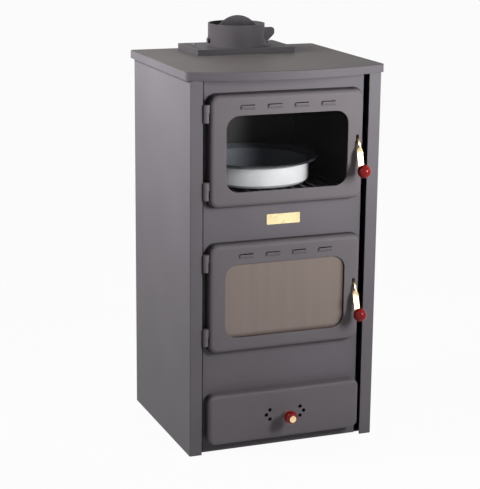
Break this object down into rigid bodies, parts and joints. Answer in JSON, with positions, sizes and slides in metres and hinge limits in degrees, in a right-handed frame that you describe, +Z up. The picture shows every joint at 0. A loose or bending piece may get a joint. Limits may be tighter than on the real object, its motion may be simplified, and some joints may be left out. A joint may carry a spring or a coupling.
{
  "type": "wood stove with oven",
  "caption": "Free-standing wood stove with a glazed oven above a glazed fire door, an ash drawer with an air regulator, and a flue collar with a damper on its bowed top.",
  "frame": {"origin": "on the floor, under the middle of the casing", "axes": "+X to the right as seen from the front, +Y to the back, +Z up; the doors look along -Y"},
  "size_m": [0.457, 0.4576, 0.932],
  "materials": {
    "casing_paint": "satin grey stove paint",
    "door_paint": "satin dark grey stove paint",
    "cast_grey": "matt cast surface",
    "brass": "polished",
    "red_ball": "glossy dark red",
    "glass": "smoked, heat resistant",
    "steel": "bare sheet, dulled by heat",
    "firebrick": "rough fired clay",
    "rope": "woven glass rope",
    "enamel": "glossy pale enamel, dark inside"
  },
  "bodies": {
    "stove": {"base_plate": "casing_paint", "side_panel_left": "casing_paint", "side_panel_right": "casing_paint", "back_panel": "casing_paint", "top_plate": "casing_paint", "front_panel": "casing_paint", "hinge_brackets": "door_paint", "flue_base": "cast_grey", "flue_collar": "cast_grey", "fire_grate": "cast_grey", "grate_plate": "cast_grey", "brass_plate": "brass", "casing_screws": "steel", "flue_screws": "steel", "fire_walls": "steel", "fire_back_wall": "steel", "oven_floor": "steel", "oven_roof": "steel", "oven_walls": "steel", "oven_back_wall": "steel", "oven_runners": "steel", "oven_rack": "steel", "drawer_runners": "steel", "hinge_pins": "steel", "latch_keepers": "steel", "firebricks_side": "firebrick", "firebricks_back": "firebrick", "baking_tin": "enamel"},
    "oven_door": {"oven_door": "door_paint", "oven_door_glass": "glass", "oven_glass_gasket": "rope", "oven_glass_clips": "steel", "oven_clip_screws": "steel", "oven_door_seal": "rope", "oven_hinge_knuckles": "door_paint", "oven_latch_bracket": "steel"},
    "fire_door": {"fire_door": "door_paint", "fire_door_glass": "glass", "fire_glass_gasket": "rope", "fire_glass_clips": "steel", "fire_clip_screws": "steel", "fire_door_seal": "rope", "fire_hinge_knuckles": "door_paint", "fire_latch_bracket": "steel"},
    "oven_latch": {"oven_latch_lever": "brass", "oven_latch_knob": "red_ball"},
    "fire_latch": {"fire_latch_lever": "brass", "fire_latch_knob": "red_ball"},
    "ash_drawer": {"drawer_front": "door_paint", "ash_box": "steel", "drawer_rivets": "steel"},
    "air_regulator": {"regulator_disc": "steel", "regulator_stem": "brass", "regulator_knob": "red_ball", "regulator_insert": "brass"},
    "damper": {"damper_shaft": "cast_grey", "damper_disc": "cast_grey", "damper_tab": "cast_grey"}
  },
  "joints": [
    {"name": "oven_door_hinge", "type": "hinge", "parent": "stove", "child": "oven_door", "pos_m": [-0.1855, -0.197, 0.694], "axis": [0, 0, -1], "range_deg": [0, 110]},
    {"name": "fire_door_hinge", "type": "hinge", "parent": "stove", "child": "fire_door", "pos_m": [-0.1855, -0.197, 0.37], "axis": [0, 0, -1], "range_deg": [0, 110]},
    {"name": "oven_latch_pivot", "type": "hinge", "parent": "oven_door", "child": "oven_latch", "pos_m": [0.1636, -0.191, 0.687], "axis": [-1, 0, 0], "range_deg": [0, 35]},
    {"name": "fire_latch_pivot", "type": "hinge", "parent": "fire_door", "child": "fire_latch", "pos_m": [0.1636, -0.191, 0.363], "axis": [-1, 0, 0], "range_deg": [0, 35]},
    {"name": "ash_drawer_slide", "type": "slide", "parent": "stove", "child": "ash_drawer", "axis": [0, -1, 0], "range_m": [0, 0.26]},
    {"name": "air_regulator_turn", "type": "hinge", "parent": "ash_drawer", "child": "air_regulator", "pos_m": [0, -0.21, 0.081], "axis": [0, 1, 0], "range_deg": [0, 60]},
    {"name": "damper_turn", "type": "hinge", "parent": "stove", "child": "damper", "pos_m": [0, 0.115, 0.876], "axis": [1, 0, 0], "range_deg": [0, 90]}
  ]
}
